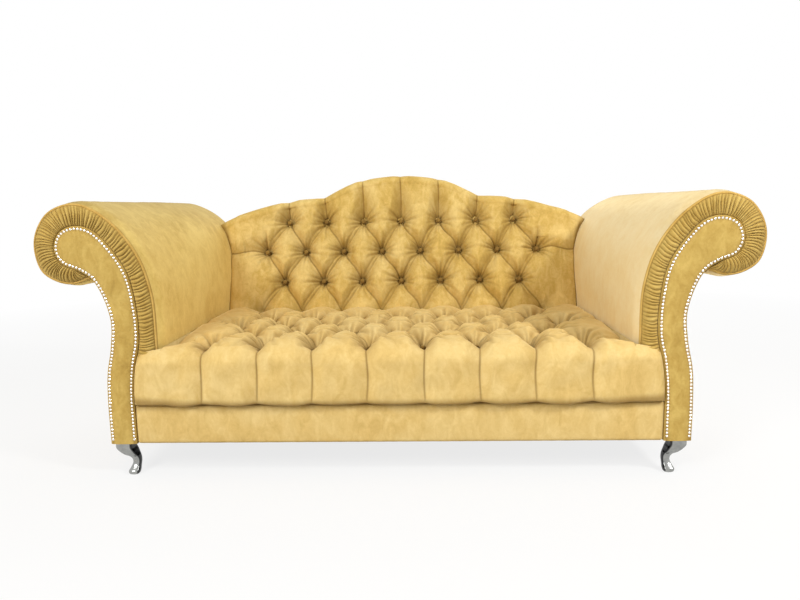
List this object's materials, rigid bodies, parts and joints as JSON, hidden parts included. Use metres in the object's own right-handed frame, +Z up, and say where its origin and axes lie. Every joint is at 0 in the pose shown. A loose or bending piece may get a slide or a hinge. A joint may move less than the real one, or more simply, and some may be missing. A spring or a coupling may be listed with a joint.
{
  "type": "sofa",
  "caption": "Deep-buttoned camel-back sofa with two rolled scroll arms, gathered and studded arm fronts, and polished cabriole legs.",
  "frame": {"origin": "on the floor, under the middle of the sofa's overall box", "axes": "+X to the right of someone who faces the sofa, the seat's front towards -Y, +Z up"},
  "size_m": [2.2984, 1, 1.0007],
  "materials": {
    "velvet": "cut-pile velvet, golden mustard",
    "nickel": "polished nickel upholstery nails",
    "chrome": "polished chrome plate",
    "beech": "planed, unfinished beech",
    "webbing": "woven jute webbing",
    "cambric": "black cambric dust cover"
  },
  "bodies": {
    "root": {"arm_back_panel_left": "velvet", "arm_back_panel_right": "velvet", "arm_base_rail_left": "beech", "arm_base_rail_right": "beech", "arm_facing_left": "velvet", "arm_facing_right": "velvet", "arm_front_board_left": "beech", "arm_front_board_right": "beech", "arm_pad_left": "velvet", "arm_pad_right": "velvet", "arm_piping_left": "velvet", "arm_piping_right": "velvet", "arm_rear_board_left": "beech", "arm_rear_board_right": "beech", "arm_scroll_rail_left": "beech", "arm_scroll_rail_right": "beech", "back_button_row_1": "velvet", "back_button_row_2": "velvet", "back_button_row_3": "velvet", "back_centre_post": "beech", "back_pad": "velvet", "back_post_left": "beech", "back_post_right": "beech", "back_rail": "beech", "centre_stretcher": "beech", "crest_rail": "beech", "dust_cover": "cambric", "front_leg_block_left": "beech", "front_leg_block_right": "beech", "front_leg_left": "chrome", "front_leg_right": "chrome", "front_rail": "beech", "front_rail_cover": "velvet", "gathered_band_left": "velvet", "gathered_band_right": "velvet", "nail_trim_left": "nickel", "nail_trim_right": "nickel", "outside_arm_panel_left": "velvet", "outside_arm_panel_right": "velvet", "outside_back_panel": "velvet", "rear_leg_block_left": "beech", "rear_leg_block_right": "beech", "rear_leg_left": "chrome", "rear_leg_right": "chrome", "seat_back_rail": "beech", "seat_button_row_1": "velvet", "seat_button_row_2": "velvet", "seat_button_row_3": "velvet", "seat_button_row_4": "velvet", "seat_pad": "velvet", "seat_side_rail_left": "beech", "seat_side_rail_right": "beech", "seat_webbing_1": "webbing", "seat_webbing_2": "webbing", "seat_webbing_3": "webbing", "seat_webbing_4": "webbing", "seat_webbing_5": "webbing"}
  },
  "joints": []
}
